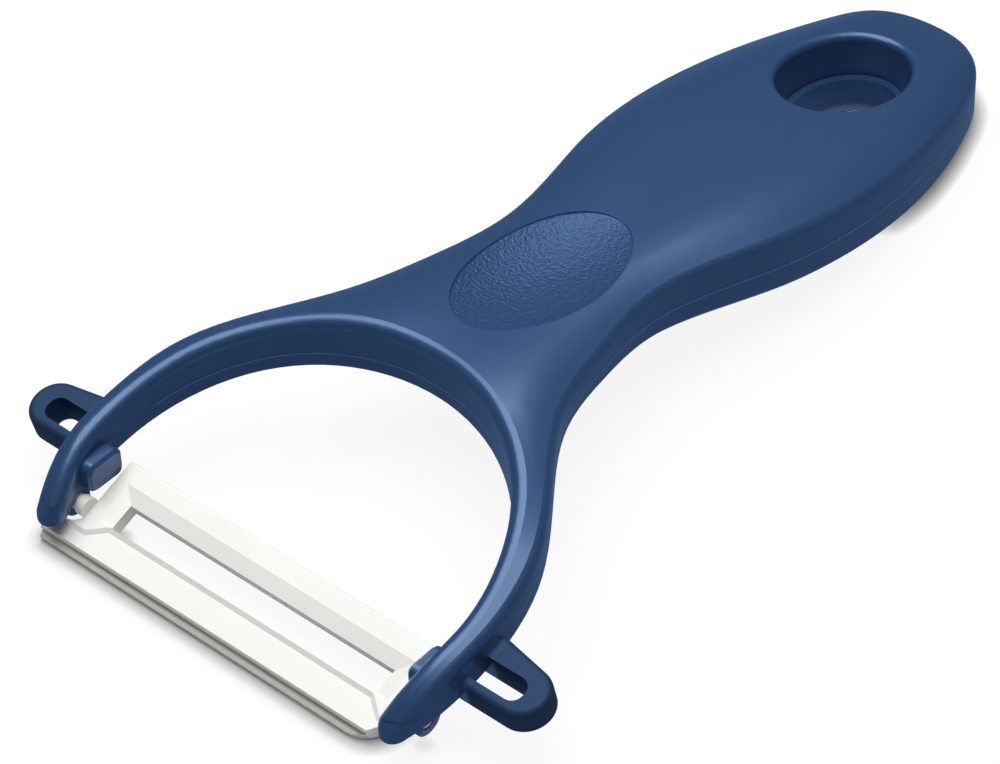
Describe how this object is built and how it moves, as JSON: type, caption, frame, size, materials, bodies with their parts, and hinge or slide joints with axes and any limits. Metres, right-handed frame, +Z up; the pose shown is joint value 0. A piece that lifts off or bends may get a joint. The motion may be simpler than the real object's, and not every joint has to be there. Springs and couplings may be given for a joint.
{
  "type": "vegetable peeler",
  "caption": "Y-shaped vegetable peeler: a moulded handle and horseshoe yoke joined along a seam, with side loops, a dished thumb rest and a hanging hole, and a swivelling slotted ceramic blade.",
  "frame": {"origin": "bottom centre of the whole peeler's box, on the table it lies on", "axes": "+X along the blade, to the right when looking from the blade towards the handle with the thumb rest up; +Y from the blade back along the handle to the hanging hole; +Z up, out of the thumb rest"},
  "size_m": [0.0788, 0.1368, 0.0197],
  "materials": {
    "handle_plastic": "glossy navy moulded plastic, with a pebbled grain in the thumb rest",
    "blade_ceramic": "ivory white zirconia ceramic, satin ground faces"
  },
  "bodies": {
    "handle": {"upper_shell": "handle_plastic", "lower_shell": "handle_plastic"},
    "blade": {"blade": "blade_ceramic"}
  },
  "joints": [
    {"name": "blade_swivel", "type": "hinge", "parent": "handle", "child": "blade", "pos_m": [0, -0.063, 0.00442], "axis": [1, 0, 0], "range_deg": [0, 25]}
  ]
}
